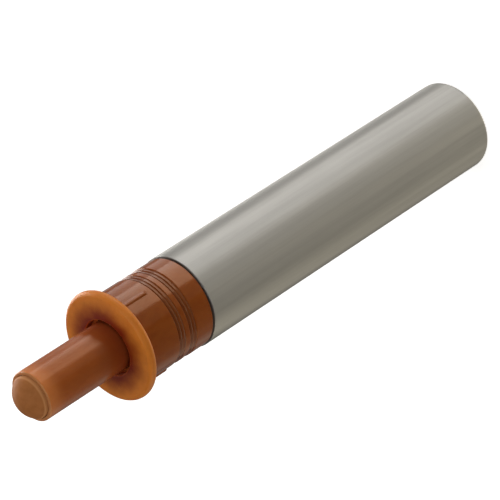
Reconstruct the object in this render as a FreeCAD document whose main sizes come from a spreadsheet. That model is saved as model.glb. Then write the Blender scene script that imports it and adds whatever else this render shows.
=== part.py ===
import FreeCAD, Part
import math
import os
import Sketcher

# Soft close damper for a 10 mm drilled hole, in millimetres.
# It stands on its closed end: +Z runs along the axis to the domed plunger, and the origin is the
# centre of the closed end. The first crush rib of the nose lies on +X.

doc = FreeCAD.newDocument("soft_close_damper")

# Driving sizes
SIZES = {
    # outer tube
    "tube_diameter": 10.0,
    "tube_wall": 0.45,
    "tube_length": 43.0,
    "tube_floor": 0.9,
    "tube_edge_round": 0.35,
    "mouth_edge_break": 0.12,
    # nose housing
    "spigot_depth": 6.7,
    "spigot_clearance": 0.01,
    "neck_gap": 0.28,
    "band_foot_round": 0.13,
    "rear_band_step": 0.11,
    "rear_band_length": 2.14,
    "front_band_step": 0.14,
    "front_band_length": 4.08,
    "groove_count": 2,
    "groove_pitch": 1.52,
    "groove_notch_width": 0.16,
    "groove_notch_depth": 0.16,
    "groove_ridge_width": 0.25,
    "groove_ridge_drop": 0.05,
    "flange_overhang": 0.9,
    "flange_thickness": 1.0,
    "flange_rim_round": 0.45,
    "flange_root_round": 0.2,
    "mouth_gap": 0.35,
    "mouth_depth": 0.8,
    "mouth_lip_round": 0.12,
    "rib_count": 3,
    "rib_width": 0.5,
    "rib_height": 0.14,
    "rib_length": 3.4,
    "rib_lead": 0.22,
    # plunger
    "plunger_diameter": 5.3,
    "plunger_clearance": 0.06,
    "plunger_stroke": 10.0,
    "plunger_margin": 0.24,
    "plunger_edge_round": 0.25,
    "collar_height": 0.55,
    "collar_length": 1.4,
    "collar_stop_gap": 0.05,
    "tail_clearance": 0.75,
    "rod_pocket_web": 0.95,
    "bond_gap": 0.01,
    # domed tip
    "tip_seat_wall": 0.34,
    "tip_seat_depth": 0.6,
    "tip_disc_gap": 0.06,
    "tip_rise": 0.23,
    "dome_height": 1.32,
    "dome_shoulder_round": 0.5,
    "tip_stem_diameter": 2.5,
    "tip_stem_length": 2.4,
    # damping cartridge
    "cushion_thickness": 0.6,
    "cushion_side_gap": 0.2,
    "cartridge_side_gap": 0.05,
    "cartridge_wall": 0.8,
    "cartridge_ledge": 0.15,
    "cartridge_floor": 1.0,
    "cartridge_base_round": 0.4,
    "flute_count": 4,
    "flute_width": 0.6,
    "flute_length": 12.5,
    "cap_shoulder": 1.1,
    "cap_plug_length": 2.6,
    "cap_side_gap": 0.03,
    "cap_ring_groove_depth": 0.72,
    "cap_ring_groove_width": 1.1,
    "cap_ring_groove_drop": 0.7,
    "cap_ring_section": 0.74,
    # seals and compensator
    "seal_height": 1.6,
    "seal_lip_gap": 0.02,
    "seal_lip_thickness": 0.75,
    "seal_cup_depth": 1.0,
    "seal_cup_taper": 0.2,
    "support_thickness": 0.6,
    "support_bore_gap": 0.1,
    "foam_height": 3.4,
    "foam_rod_gap": 0.45,
    "foam_side_gap": 0.1,
    "separator_thickness": 0.6,
    "separator_hole_count": 6,
    "separator_hole_diameter": 0.8,
    # rod, piston and valve
    "rod_diameter": 2.5,
    "rod_guide_gap": 0.04,
    "rod_journal_diameter": 1.8,
    "rod_tail": 0.6,
    "rod_end_chamfer": 0.2,
    "piston_rest_gap": 0.4,
    "piston_side_gap": 0.04,
    "piston_height": 2.6,
    "piston_hub_diameter": 3.0,
    "piston_hub_height": 0.8,
    "journal_gap": 0.02,
    "port_count": 4,
    "port_diameter": 0.84,
    "ring_groove_drop": 0.6,
    "ring_groove_width": 0.95,
    "ring_groove_depth": 0.62,
    "ring_float": 0.02,
    "ring_split": 0.5,
    "valve_thickness": 0.3,
    "valve_side_gap": 0.7,
    "valve_hub_gap": 0.06,
    "keeper_thickness": 0.5,
    "keeper_rim": 0.1,
    "clip_thickness": 0.4,
    "clip_outer_diameter": 3.4,
    "clip_groove_depth": 0.25,
    "clip_slot": 1.1,
    # spring
    "seat_thickness": 0.6,
    "seat_side_gap": 0.1,
    "seat_boss_height": 1.5,
    "seat_boss_gap": 0.2,
    "seat_hole_diameter": 1.6,
    "spring_wire": 0.5,
    "spring_side_gap": 0.7,
    "spring_turns": 8,
    "spring_end_gap": 0.02,
}

# Radii and levels worked out from the driving sizes
LAYOUT = {
    # outer tube
    "tube_radius": "Sizes.tube_diameter / 2",
    "tube_bore": "tube_radius - Sizes.tube_wall",
    "tube_floor_level": "Sizes.tube_floor",
    "tube_mouth_level": "Sizes.tube_length",
    # damping cartridge, stacked down from the nose spigot
    "cap_top": "tube_mouth_level - Sizes.spigot_depth",
    "cartridge_top": "cap_top - Sizes.cap_shoulder",
    "cartridge_base": "tube_floor_level + Sizes.cushion_thickness",
    "cartridge_inside": "cartridge_base + Sizes.cartridge_floor",
    "cartridge_radius": "tube_bore - Sizes.cartridge_side_gap",
    "bore_radius": "cartridge_radius - Sizes.cartridge_wall",
    "counterbore_radius": "bore_radius + Sizes.cartridge_ledge",
    "cushion_radius": "tube_bore - Sizes.cushion_side_gap",
    "cap_foot": "cartridge_top - Sizes.cap_plug_length",
    "cap_plug_radius": "counterbore_radius - Sizes.cap_side_gap",
    "cap_ring_groove_top": "cartridge_top - Sizes.cap_ring_groove_drop",
    "cap_ring_groove_foot": "cap_ring_groove_top - Sizes.cap_ring_groove_width",
    "cap_ring_groove_radius": "cap_plug_radius - Sizes.cap_ring_groove_depth",
    "cap_ring_section_radius": "Sizes.cap_ring_section / 2",
    "cap_ring_radius": "cap_ring_groove_radius + cap_ring_section_radius",
    "cap_ring_level": "(cap_ring_groove_top + cap_ring_groove_foot) / 2",
    # seal stack under the cap
    "seal_foot": "cap_foot - Sizes.seal_height",
    "seal_cup_top": "seal_foot + Sizes.seal_cup_depth",
    "seal_bore": "rod_radius + Sizes.seal_lip_gap",
    "seal_inner_lip": "seal_bore + Sizes.seal_lip_thickness",
    "seal_outer_lip": "cap_plug_radius - Sizes.seal_lip_thickness",
    "seal_inner_root": "seal_inner_lip + Sizes.seal_cup_taper",
    "seal_outer_root": "seal_outer_lip - Sizes.seal_cup_taper",
    "support_foot": "seal_foot - Sizes.support_thickness",
    "support_bore": "rod_radius + Sizes.support_bore_gap",
    "foam_foot": "support_foot - Sizes.foam_height",
    "foam_bore": "rod_radius + Sizes.foam_rod_gap",
    "foam_radius": "counterbore_radius - Sizes.foam_side_gap",
    "separator_foot": "foam_foot - Sizes.separator_thickness",
    "separator_hole_circle": "(support_bore + bore_radius) / 2",
    "separator_hole_radius": "Sizes.separator_hole_diameter / 2",
    "flute_radius": "Sizes.flute_width / 2",
    "flute_foot": "separator_foot - Sizes.flute_length",
    # rod and piston, hung below the separator
    "rod_radius": "Sizes.rod_diameter / 2",
    "rod_guide_radius": "rod_radius + Sizes.rod_guide_gap",
    "journal_radius": "Sizes.rod_journal_diameter / 2",
    "journal_bore": "journal_radius + Sizes.journal_gap",
    "piston_top": "separator_foot - Sizes.piston_rest_gap",
    "piston_foot": "piston_top - Sizes.piston_height",
    "piston_radius": "bore_radius - Sizes.piston_side_gap",
    "piston_hub_radius": "Sizes.piston_hub_diameter / 2",
    "piston_hub_foot": "piston_foot - Sizes.piston_hub_height",
    "port_radius": "Sizes.port_diameter / 2",
    "port_circle_radius": "(piston_hub_radius + ring_groove_radius) / 2",
    "ring_groove_top": "piston_top - Sizes.ring_groove_drop",
    "ring_groove_foot": "ring_groove_top - Sizes.ring_groove_width",
    "ring_groove_radius": "piston_radius - Sizes.ring_groove_depth",
    "ring_top": "ring_groove_top - Sizes.ring_float",
    "ring_foot": "ring_groove_foot + Sizes.ring_float",
    "ring_bore": "ring_groove_radius + Sizes.ring_float",
    "ring_radius": "bore_radius - Sizes.ring_float",
    "keeper_top": "piston_hub_foot",
    "keeper_foot": "keeper_top - Sizes.keeper_thickness",
    "keeper_radius": "spring_radius + wire_radius + Sizes.keeper_rim",
    "valve_top": "keeper_top + Sizes.valve_thickness",
    "valve_radius": "bore_radius - Sizes.valve_side_gap",
    "valve_bore": "piston_hub_radius + Sizes.valve_hub_gap",
    "clip_foot": "keeper_foot - Sizes.clip_thickness",
    "clip_groove_radius": "journal_radius - Sizes.clip_groove_depth",
    "clip_bore": "clip_groove_radius + Sizes.ring_float",
    "clip_radius": "Sizes.clip_outer_diameter / 2",
    "rod_foot": "clip_foot - Sizes.rod_tail",
    "rod_chamfer_radius": "journal_radius - Sizes.rod_end_chamfer",
    "rod_chamfer_level": "rod_foot + Sizes.rod_end_chamfer",
    # spring between its seat and the keeper
    "seat_top": "cartridge_inside + Sizes.seat_thickness",
    "seat_radius": "bore_radius - Sizes.seat_side_gap",
    "wire_radius": "Sizes.spring_wire / 2",
    "spring_radius": "bore_radius - Sizes.spring_side_gap - wire_radius",
    "seat_boss_radius": "spring_radius - wire_radius - Sizes.seat_boss_gap",
    "seat_boss_top": "seat_top + Sizes.seat_boss_height",
    "seat_hole_radius": "Sizes.seat_hole_diameter / 2",
    "spring_start": "seat_top + Sizes.spring_end_gap + wire_radius",
    "spring_height": "keeper_foot - Sizes.spring_end_gap - wire_radius - spring_start",
    # nose housing
    "spigot_radius": "tube_bore - Sizes.spigot_clearance",
    "band_foot": "tube_mouth_level + Sizes.neck_gap",
    "rear_band_radius": "tube_radius - Sizes.rear_band_step",
    "rear_band_top": "band_foot + Sizes.rear_band_length",
    "groove_width": "3 * Sizes.groove_notch_width + 2 * Sizes.groove_ridge_width",
    "grooves_top": "rear_band_top + (Sizes.groove_count - 1) * Sizes.groove_pitch + groove_width",
    "front_band_radius": "tube_radius - Sizes.front_band_step",
    "flange_back": "grooves_top + Sizes.front_band_length",
    "flange_front": "flange_back + Sizes.flange_thickness",
    "flange_radius": "tube_radius + Sizes.flange_overhang",
    "mouth_radius": "plunger_radius + Sizes.mouth_gap",
    "mouth_floor": "flange_front - Sizes.mouth_depth",
    "plunger_radius": "Sizes.plunger_diameter / 2",
    "guide_radius": "plunger_radius + Sizes.plunger_clearance",
    "collar_radius": "plunger_radius + Sizes.collar_height",
    "relief_radius": "collar_radius + Sizes.plunger_clearance",
    "plunger_foot": "cap_top + Sizes.tail_clearance + Sizes.plunger_stroke",
    "collar_top": "plunger_foot + Sizes.collar_length",
    "guide_foot": "collar_top + Sizes.collar_stop_gap",
    "ridge_radius": "front_band_radius - Sizes.groove_ridge_drop",
    "notch_radius": "front_band_radius - Sizes.groove_notch_depth",
    "groove_rim_radius": "rear_band_radius + Sizes.groove_ridge_drop",
    "first_notch_top": "rear_band_top + Sizes.groove_notch_width",
    "middle_notch_foot": "first_notch_top + Sizes.groove_ridge_width",
    "middle_notch_top": "middle_notch_foot + Sizes.groove_notch_width",
    "last_notch_foot": "middle_notch_top + Sizes.groove_ridge_width",
    "last_notch_top": "last_notch_foot + Sizes.groove_notch_width",
    "rib_radius": "front_band_radius + Sizes.rib_height",
    "rib_root_radius": "front_band_radius - Sizes.rib_height",
    "rib_end": "flange_back - Sizes.rib_length",
    "rib_foot": "rib_end - Sizes.rib_lead",
    # plunger and its domed tip
    "plunger_front": "flange_front + Sizes.plunger_stroke + Sizes.plunger_margin",
    "rod_pocket_radius": "rod_radius + Sizes.bond_gap",
    "rod_pocket_top": "tip_stem_foot - Sizes.rod_pocket_web",
    "tip_seat_radius": "plunger_radius - Sizes.tip_seat_wall",
    "tip_seat_level": "plunger_front - Sizes.tip_seat_depth",
    "tip_disc_radius": "tip_seat_radius - Sizes.tip_disc_gap",
    "dome_rim_level": "plunger_front + Sizes.tip_rise",
    "dome_apex": "dome_rim_level + Sizes.dome_height",
    "tip_stem_radius": "Sizes.tip_stem_diameter / 2",
    "tip_stem_hole": "tip_stem_radius + Sizes.bond_gap",
    "tip_stem_foot": "tip_seat_level - Sizes.tip_stem_length",
}

# Corners are written as (radius, level). These two names stand for the axis and the base plane,
# and DOME marks a corner that an arc centred on the axis leaves, in place of a straight edge.
AXIS = "axis"
BASE = "base"
DOME = "dome"
FILLET = "PartDesign::Fillet"
CHAMFER = "PartDesign::Chamfer"
SAME_PLACE = 1e-4
WIRE_FLAT_COUNT = 8


def make_sheet(name, cells, prefix):
    """A spreadsheet with one named cell a row: the name in column A and its value in column B."""
    sheet = doc.addObject("Spreadsheet::Sheet", name)
    for row, alias in enumerate(cells, start=1):
        sheet.set(f"A{row}", alias)
        sheet.setAlias(f"B{row}", alias)
    for row, content in enumerate(cells.values(), start=1):
        sheet.set(f"B{row}", prefix + str(content))
    doc.recompute()
    return sheet


sizes = make_sheet("Sizes", SIZES, "")
layout = make_sheet("Layout", LAYOUT, "=")


def value(alias):
    """The number in a cell of the layout sheet; the axis and the base plane are zero."""
    return 0.0 if alias in (AXIS, BASE) else float(layout.get(alias))


def origin_feature(body, role):
    """A plane or an axis of the body's own origin."""
    return next(f for f in body.Origin.OriginFeatures if f.Role == role)


def new_body(label):
    body = doc.addObject("PartDesign::Body", label)
    body.Label = label
    body.Placement = FreeCAD.Placement()
    return body


def new_sketch(body, name, role):
    sketch = body.newObject("Sketcher::SketchObject", name)
    sketch.AttachmentSupport = (origin_feature(body, role), [""])
    sketch.MapMode = "FlatFace"
    return sketch


def bind_distance(sketch, kind, geometry, point, alias):
    """Ties one coordinate of a sketch point to a layout cell, or holds it on an axis when it is zero."""
    if alias in (AXIS, BASE):
        line = -2 if alias == AXIS else -1
        sketch.addConstraint(Sketcher.Constraint("PointOnObject", geometry, point, line))
        return
    index = sketch.addConstraint(Sketcher.Constraint(kind, -1, 1, geometry, point, value(alias)))
    sketch.setExpression(f"Constraints[{index}]", f"Layout.{alias}")


def bind_circle(sketch, geometry, across, up, size):
    """Ties a circle's centre and radius to layout cells."""
    bind_distance(sketch, "DistanceX", geometry, 3, across)
    bind_distance(sketch, "DistanceY", geometry, 3, up)
    index = sketch.addConstraint(Sketcher.Constraint("Radius", geometry, value(size)))
    sketch.setExpression(f"Constraints[{index}]", f"Layout.{size}")


def half_section(body, name, corners):
    """A closed outline in the XZ plane, each corner bound to its radius and level."""
    sketch = new_sketch(body, name, "XZ_Plane")
    points = [FreeCAD.Vector(value(corner[0]), value(corner[1]), 0) for corner in corners]
    for corner, start, end in zip(corners, points, points[1:] + points[:1]):
        if corner[-1] == DOME:
            sketch.addGeometry(dome_arc(start, end))
        else:
            sketch.addGeometry(Part.LineSegment(start, end))
    for index, corner in enumerate(corners):
        sketch.addConstraint(Sketcher.Constraint("Coincident", (index - 1) % len(corners), 2, index, 1))
        bind_distance(sketch, "DistanceX", index, 1, corner[0])
        bind_distance(sketch, "DistanceY", index, 1, corner[1])
        if corner[-1] == DOME:
            sketch.addConstraint(Sketcher.Constraint("PointOnObject", index, 3, -2))
    return sketch


def dome_arc(rim, apex):
    """The arc from a dome's rim to its apex on the axis, centred on the axis."""
    height = apex.y - rim.y
    radius = (rim.x ** 2 + height ** 2) / (2 * height)
    centre = FreeCAD.Vector(0, apex.y - radius, 0)
    towards_middle = ((rim + apex) / 2 - centre).normalize()
    return Part.Arc(rim, centre + towards_middle * radius, apex)


def circle_section(body, name, radius, level, size):
    """A circle in the XZ plane, centred at a radius and a level."""
    sketch = new_sketch(body, name, "XZ_Plane")
    centre = FreeCAD.Vector(value(radius), value(level), 0)
    sketch.addGeometry(Part.Circle(centre, FreeCAD.Vector(0, 0, 1), value(size)))
    bind_circle(sketch, 0, radius, level, size)
    return sketch


def polygon_section(body, name, radius, level, size, sides):
    """An even polygon in the XZ plane, its corners on a circle centred at a radius and a level."""
    sketch = new_sketch(body, name, "XZ_Plane")
    centre = FreeCAD.Vector(value(radius), value(level), 0)
    angles = [math.pi * (2 * side + 1) / sides for side in range(sides)]
    corners = [centre + FreeCAD.Vector(math.cos(a), math.sin(a), 0) * value(size) for a in angles]
    for start, end in zip(corners, corners[1:] + corners[:1]):
        sketch.addGeometry(Part.LineSegment(start, end))
    guide = sketch.addGeometry(Part.Circle(centre, FreeCAD.Vector(0, 0, 1), value(size)), True)
    bind_circle(sketch, guide, radius, level, size)
    for side in range(sides):
        sketch.addConstraint(Sketcher.Constraint("Coincident", (side - 1) % sides, 2, side, 1))
        sketch.addConstraint(Sketcher.Constraint("PointOnObject", side, 1, guide))
    for side in range(1, sides):
        sketch.addConstraint(Sketcher.Constraint("Equal", 0, side))
    sketch.addConstraint(Sketcher.Constraint("Vertical", sides - 1))
    return sketch


def spin(body, name, sketch, kind="PartDesign::Revolution"):
    """Turns a half section once round the Z axis, adding it or, for a groove, cutting it away."""
    feature = body.newObject(kind, name)
    feature.Profile = (sketch, [""])
    feature.ReferenceAxis = (sketch, ["V_Axis"])
    feature.Angle = 360
    return feature


def turned(label, corners):
    """A body turned from one half section."""
    body = new_body(label)
    spin(body, label + "_turning", half_section(body, label + "_section", corners))
    doc.recompute()
    return body


def washer(label, bore, radius, foot, top):
    """A flat ring, or a disc where the bore is the axis."""
    return turned(label, [(bore, foot), (radius, foot), (radius, top), (bore, top)])


def circle_edges(shape, places):
    """The names of the circular edges that lie at the given (radius, level) places."""
    found = []
    for number, edge in enumerate(shape.Edges, start=1):
        if edge.Degenerated or not isinstance(edge.Curve, Part.Circle):
            continue
        radius, level = edge.Curve.Radius, edge.Curve.Center.z
        if any(abs(radius - value(r)) < SAME_PLACE and abs(level - value(z)) < SAME_PLACE for r, z in places):
            found.append(f"Edge{number}")
    return found


def dress_edges(body, name, kind, places, size):
    """A fillet or a chamfer on circular edges of the body."""
    base = body.Tip
    feature = body.newObject(kind, name)
    feature.Base = (base, circle_edges(base.Shape, places))
    feature.setExpression("Radius" if kind == FILLET else "Size", "Sizes." + size)
    doc.recompute()
    return feature


def repeat_round_axis(body, name, feature, count):
    """Repeats a feature evenly round the Z axis."""
    pattern = body.newObject("PartDesign::PolarPattern", name)
    pattern.Originals = [feature]
    pattern.Axis = (origin_feature(body, "Z_Axis"), [""])
    pattern.Angle = 360
    pattern.setExpression("Occurrences", "Sizes." + count)
    body.Tip = pattern
    doc.recompute()
    return pattern


def ring_of_holes(body, name, count, circle, radius, foot, depth):
    """Round holes on a circle about the axis, cut upwards from the level of their feet."""
    sketch = new_sketch(body, name + "_outline", "XY_Plane")
    sketch.setExpression("AttachmentOffset.Base.z", "Layout." + foot)
    centre = FreeCAD.Vector(value(circle), 0, 0)
    sketch.addGeometry(Part.Circle(centre, FreeCAD.Vector(0, 0, 1), value(radius)))
    bind_circle(sketch, 0, circle, BASE, radius)
    hole = body.newObject("PartDesign::Pocket", name)
    hole.Profile = (sketch, [""])
    hole.Reversed = True
    hole.setExpression("Length", "Sizes." + depth)
    doc.recompute()
    return repeat_round_axis(body, name + "s", hole, count)


def centred_on_section(body, kind, name, section, width):
    """A pad or a pocket as wide on one side of its section as on the other."""
    feature = body.newObject(kind, name)
    feature.Profile = (section, [""])
    feature.SideType = "Symmetric"
    feature.setExpression("Length", "Sizes." + width)
    doc.recompute()
    return feature


def split_ring(label, bore, radius, foot, top, gap):
    """A flat ring with a gap cut through it on the +X side."""
    body = washer(label, bore, radius, foot, top)
    outline = [(AXIS, foot), (radius, foot), (radius, top), (AXIS, top)]
    section = half_section(body, label + "_gap_section", outline)
    centred_on_section(body, "PartDesign::Pocket", label + "_gap", section, gap)
    return body


def make_outer_tube():
    """Plain drawn tube with a closed end, the part that fills the drilled hole."""
    body = turned("outer_tube", [
        (AXIS, BASE),
        ("tube_radius", BASE),
        ("tube_radius", "tube_mouth_level"),
        ("tube_bore", "tube_mouth_level"),
        ("tube_bore", "tube_floor_level"),
        (AXIS, "tube_floor_level"),
    ])
    dress_edges(body, "closed_end_round", FILLET, [("tube_radius", BASE)], "tube_edge_round")
    dress_edges(body, "mouth_edge_break", CHAMFER, [("tube_radius", "tube_mouth_level")], "mouth_edge_break")
    return body


def make_nose_housing():
    """Moulded nose: spigot in the tube, two bands with fine grooves, flange and plunger guide."""
    body = turned("nose_housing", [
        ("relief_radius", "cap_top"),
        ("spigot_radius", "cap_top"),
        ("spigot_radius", "band_foot"),
        ("rear_band_radius", "band_foot"),
        ("rear_band_radius", "rear_band_top"),
        ("front_band_radius", "rear_band_top"),
        ("front_band_radius", "flange_back"),
        ("flange_radius", "flange_back"),
        ("flange_radius", "flange_front"),
        ("mouth_radius", "flange_front"),
        ("mouth_radius", "mouth_floor"),
        ("guide_radius", "mouth_floor"),
        ("guide_radius", "guide_foot"),
        ("relief_radius", "guide_foot"),
    ])
    rim = [("flange_radius", "flange_back"), ("flange_radius", "flange_front")]
    dress_edges(body, "flange_rim", FILLET, rim, "flange_rim_round")
    root = [("front_band_radius", "flange_back")]
    dress_edges(body, "flange_root", FILLET, root, "flange_root_round")
    dress_edges(body, "mouth_lip", FILLET, [("mouth_radius", "flange_front")], "mouth_lip_round")
    dress_edges(body, "band_foot_edge", FILLET, [("rear_band_radius", "band_foot")], "band_foot_round")
    cut_band_grooves(body)
    add_crush_ribs(body)
    return body


def cut_band_grooves(body):
    """Shallow grooves between the two bands, each with three fine notches."""
    section = half_section(body, "band_groove_section", [
        ("groove_rim_radius", "rear_band_top"),
        ("notch_radius", "rear_band_top"),
        ("notch_radius", "first_notch_top"),
        ("ridge_radius", "first_notch_top"),
        ("ridge_radius", "middle_notch_foot"),
        ("notch_radius", "middle_notch_foot"),
        ("notch_radius", "middle_notch_top"),
        ("ridge_radius", "middle_notch_top"),
        ("ridge_radius", "last_notch_foot"),
        ("notch_radius", "last_notch_foot"),
        ("notch_radius", "last_notch_top"),
        ("groove_rim_radius", "last_notch_top"),
    ])
    groove = spin(body, "band_groove", section, "PartDesign::Groove")
    pattern = body.newObject("PartDesign::LinearPattern", "band_grooves")
    pattern.Originals = [groove]
    pattern.Direction = (origin_feature(body, "Z_Axis"), [""])
    pattern.Mode = "Spacing"
    pattern.setExpression("Offset", "Sizes.groove_pitch")
    pattern.setExpression("Occurrences", "Sizes.groove_count")
    body.Tip = pattern
    doc.recompute()


def add_crush_ribs(body):
    """Ribs behind the flange that bite into the wall of the drilled hole."""
    section = half_section(body, "crush_rib_section", [
        ("rib_root_radius", "rib_foot"),
        ("front_band_radius", "rib_foot"),
        ("rib_radius", "rib_end"),
        ("rib_radius", "flange_back"),
        ("rib_root_radius", "flange_back"),
    ])
    rib = centred_on_section(body, "PartDesign::Pad", "crush_rib", section, "rib_width")
    repeat_round_axis(body, "crush_ribs", rib, "rib_count")


def make_plunger():
    """Moulded plunger that the door pushes, with a stop collar and pockets for the rod and the tip."""
    body = turned("plunger", [
        ("rod_pocket_radius", "plunger_foot"),
        ("collar_radius", "plunger_foot"),
        ("collar_radius", "collar_top"),
        ("plunger_radius", "collar_top"),
        ("plunger_radius", "plunger_front"),
        ("tip_seat_radius", "plunger_front"),
        ("tip_seat_radius", "tip_seat_level"),
        ("tip_stem_hole", "tip_seat_level"),
        ("tip_stem_hole", "tip_stem_foot"),
        (AXIS, "tip_stem_foot"),
        (AXIS, "rod_pocket_top"),
        ("rod_pocket_radius", "rod_pocket_top"),
    ])
    front = [("plunger_radius", "plunger_front")]
    dress_edges(body, "plunger_front_round", FILLET, front, "plunger_edge_round")
    return body


def make_tip_bumper():
    """Domed tip that meets the door, held in the plunger by a stem."""
    body = turned("tip_bumper", [
        (AXIS, "tip_stem_foot"),
        ("tip_stem_radius", "tip_stem_foot"),
        ("tip_stem_radius", "tip_seat_level"),
        ("tip_disc_radius", "tip_seat_level"),
        ("tip_disc_radius", "dome_rim_level", DOME),
        (AXIS, "dome_apex"),
    ])
    rim = [("tip_disc_radius", "dome_rim_level")]
    dress_edges(body, "dome_shoulder", FILLET, rim, "dome_shoulder_round")
    return body


def make_end_cushion():
    """Rubber disc that takes up the play between the tube's floor and the damping cylinder."""
    return washer("end_cushion", AXIS, "cushion_radius", "tube_floor_level", "cartridge_base")


def make_damping_cylinder():
    """Oil cylinder with a stepped bore and lengthwise metering flutes that end part-way down."""
    body = turned("damping_cylinder", [
        (AXIS, "cartridge_base"),
        ("cartridge_radius", "cartridge_base"),
        ("cartridge_radius", "cartridge_top"),
        ("counterbore_radius", "cartridge_top"),
        ("counterbore_radius", "separator_foot"),
        ("bore_radius", "separator_foot"),
        ("bore_radius", "cartridge_inside"),
        (AXIS, "cartridge_inside"),
    ])
    base = [("cartridge_radius", "cartridge_base")]
    dress_edges(body, "cylinder_base_round", FILLET, base, "cartridge_base_round")
    ring_of_holes(body, "flute", "flute_count", "bore_radius", "flute_radius", "flute_foot", "flute_length")
    return body


def make_cylinder_cap():
    """Cap that closes the cylinder and guides the rod, grooved for its O-ring."""
    return turned("cylinder_cap", [
        ("rod_guide_radius", "cap_foot"),
        ("cap_plug_radius", "cap_foot"),
        ("cap_plug_radius", "cap_ring_groove_foot"),
        ("cap_ring_groove_radius", "cap_ring_groove_foot"),
        ("cap_ring_groove_radius", "cap_ring_groove_top"),
        ("cap_plug_radius", "cap_ring_groove_top"),
        ("cap_plug_radius", "cartridge_top"),
        ("cartridge_radius", "cartridge_top"),
        ("cartridge_radius", "cap_top"),
        ("rod_guide_radius", "cap_top"),
    ])


def make_cap_o_ring():
    body = new_body("cap_o_ring")
    section = circle_section(body, "cap_o_ring_section",
                             "cap_ring_radius", "cap_ring_level", "cap_ring_section_radius")
    spin(body, "cap_o_ring_turning", section)
    doc.recompute()
    return body


def make_rod_seal():
    """Cup seal whose two lips face the oil."""
    return turned("rod_seal", [
        ("seal_bore", "seal_foot"),
        ("seal_inner_lip", "seal_foot"),
        ("seal_inner_root", "seal_cup_top"),
        ("seal_outer_root", "seal_cup_top"),
        ("seal_outer_lip", "seal_foot"),
        ("cap_plug_radius", "seal_foot"),
        ("cap_plug_radius", "cap_foot"),
        ("seal_bore", "cap_foot"),
    ])


def make_seal_support_ring():
    return washer("seal_support_ring", "support_bore", "cap_plug_radius", "support_foot", "seal_foot")


def make_compensator_foam():
    """Closed-cell sleeve that gives way to the oil that the entering rod displaces."""
    return washer("compensator_foam", "foam_bore", "foam_radius", "foam_foot", "support_foot")


def make_foam_separator():
    """Perforated disc on the ledge of the bore that keeps the foam clear of the piston."""
    body = washer("foam_separator", "support_bore", "cap_plug_radius", "separator_foot", "foam_foot")
    ring_of_holes(body, "separator_hole", "separator_hole_count", "separator_hole_circle",
                  "separator_hole_radius", "separator_foot", "separator_thickness")
    return body


def make_piston_rod():
    """Steel rod with a stepped journal for the piston and a groove for its clip."""
    return turned("piston_rod", [
        (AXIS, "rod_foot"),
        ("rod_chamfer_radius", "rod_foot"),
        ("journal_radius", "rod_chamfer_level"),
        ("journal_radius", "clip_foot"),
        ("clip_groove_radius", "clip_foot"),
        ("clip_groove_radius", "keeper_foot"),
        ("journal_radius", "keeper_foot"),
        ("journal_radius", "piston_top"),
        ("rod_radius", "piston_top"),
        ("rod_radius", "rod_pocket_top"),
        (AXIS, "rod_pocket_top"),
    ])


def make_piston():
    """Piston with a ring groove, a hub for the valve disc and oil ports that the disc covers."""
    body = turned("piston", [
        ("journal_bore", "piston_hub_foot"),
        ("piston_hub_radius", "piston_hub_foot"),
        ("piston_hub_radius", "piston_foot"),
        ("piston_radius", "piston_foot"),
        ("piston_radius", "ring_groove_foot"),
        ("ring_groove_radius", "ring_groove_foot"),
        ("ring_groove_radius", "ring_groove_top"),
        ("piston_radius", "ring_groove_top"),
        ("piston_radius", "piston_top"),
        ("journal_bore", "piston_top"),
    ])
    ring_of_holes(body, "port", "port_count",
                  "port_circle_radius", "port_radius", "piston_foot", "piston_height")
    return body


def make_piston_ring():
    return split_ring("piston_ring", "ring_bore", "ring_radius", "ring_foot", "ring_top", "ring_split")


def make_valve_disc():
    """Loose disc on the piston's hub: it shuts the ports on the way in and opens them on the way out."""
    return washer("valve_disc", "valve_bore", "valve_radius", "keeper_top", "valve_top")


def make_valve_keeper():
    """Washer under the hub that limits the disc's lift and takes the spring's thrust."""
    return washer("valve_keeper", "journal_bore", "keeper_radius", "keeper_foot", "keeper_top")


def make_rod_clip():
    return split_ring("rod_clip", "clip_bore", "clip_radius", "clip_foot", "keeper_foot", "clip_slot")


def make_return_spring():
    """Compression spring. Its round wire is drawn with eight flats, which keeps its mesh light."""
    body = new_body("return_spring")
    section = polygon_section(body, "spring_wire_section",
                              "spring_radius", "spring_start", "wire_radius", WIRE_FLAT_COUNT)
    coil = body.newObject("PartDesign::AdditiveHelix", "spring_coil")
    coil.Profile = (section, [""])
    coil.ReferenceAxis = (section, ["V_Axis"])
    coil.Mode = "height-turns-angle"
    coil.setExpression("Height", "Layout.spring_height")
    coil.setExpression("Turns", "Sizes.spring_turns")
    doc.recompute()
    return body


def make_spring_seat():
    """Flanged seat on the cylinder's floor, with a drilled boss that centres the spring."""
    return turned("spring_seat", [
        ("seat_hole_radius", "cartridge_inside"),
        ("seat_radius", "cartridge_inside"),
        ("seat_radius", "seat_top"),
        ("seat_boss_radius", "seat_top"),
        ("seat_boss_radius", "seat_boss_top"),
        ("seat_hole_radius", "seat_boss_top"),
    ])


PIECES = [
    make_outer_tube,
    make_nose_housing,
    make_plunger,
    make_tip_bumper,
    make_end_cushion,
    make_damping_cylinder,
    make_cylinder_cap,
    make_cap_o_ring,
    make_rod_seal,
    make_seal_support_ring,
    make_compensator_foam,
    make_foam_separator,
    make_piston_rod,
    make_piston,
    make_piston_ring,
    make_valve_disc,
    make_valve_keeper,
    make_rod_clip,
    make_return_spring,
    make_spring_seat,
]

bodies = [make_piece() for make_piece in PIECES]
doc.recompute()

for item in doc.Objects:
    if "Invalid" in item.State or "Error" in item.State:
        raise RuntimeError(f"{item.Label} did not build: {item.State}")
for body in bodies:
    if body.Shape.isNull() or not body.Shape.isValid() or len(body.Shape.Solids) != 1:
        raise RuntimeError(f"{body.Label} is not one sound solid")

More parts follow.
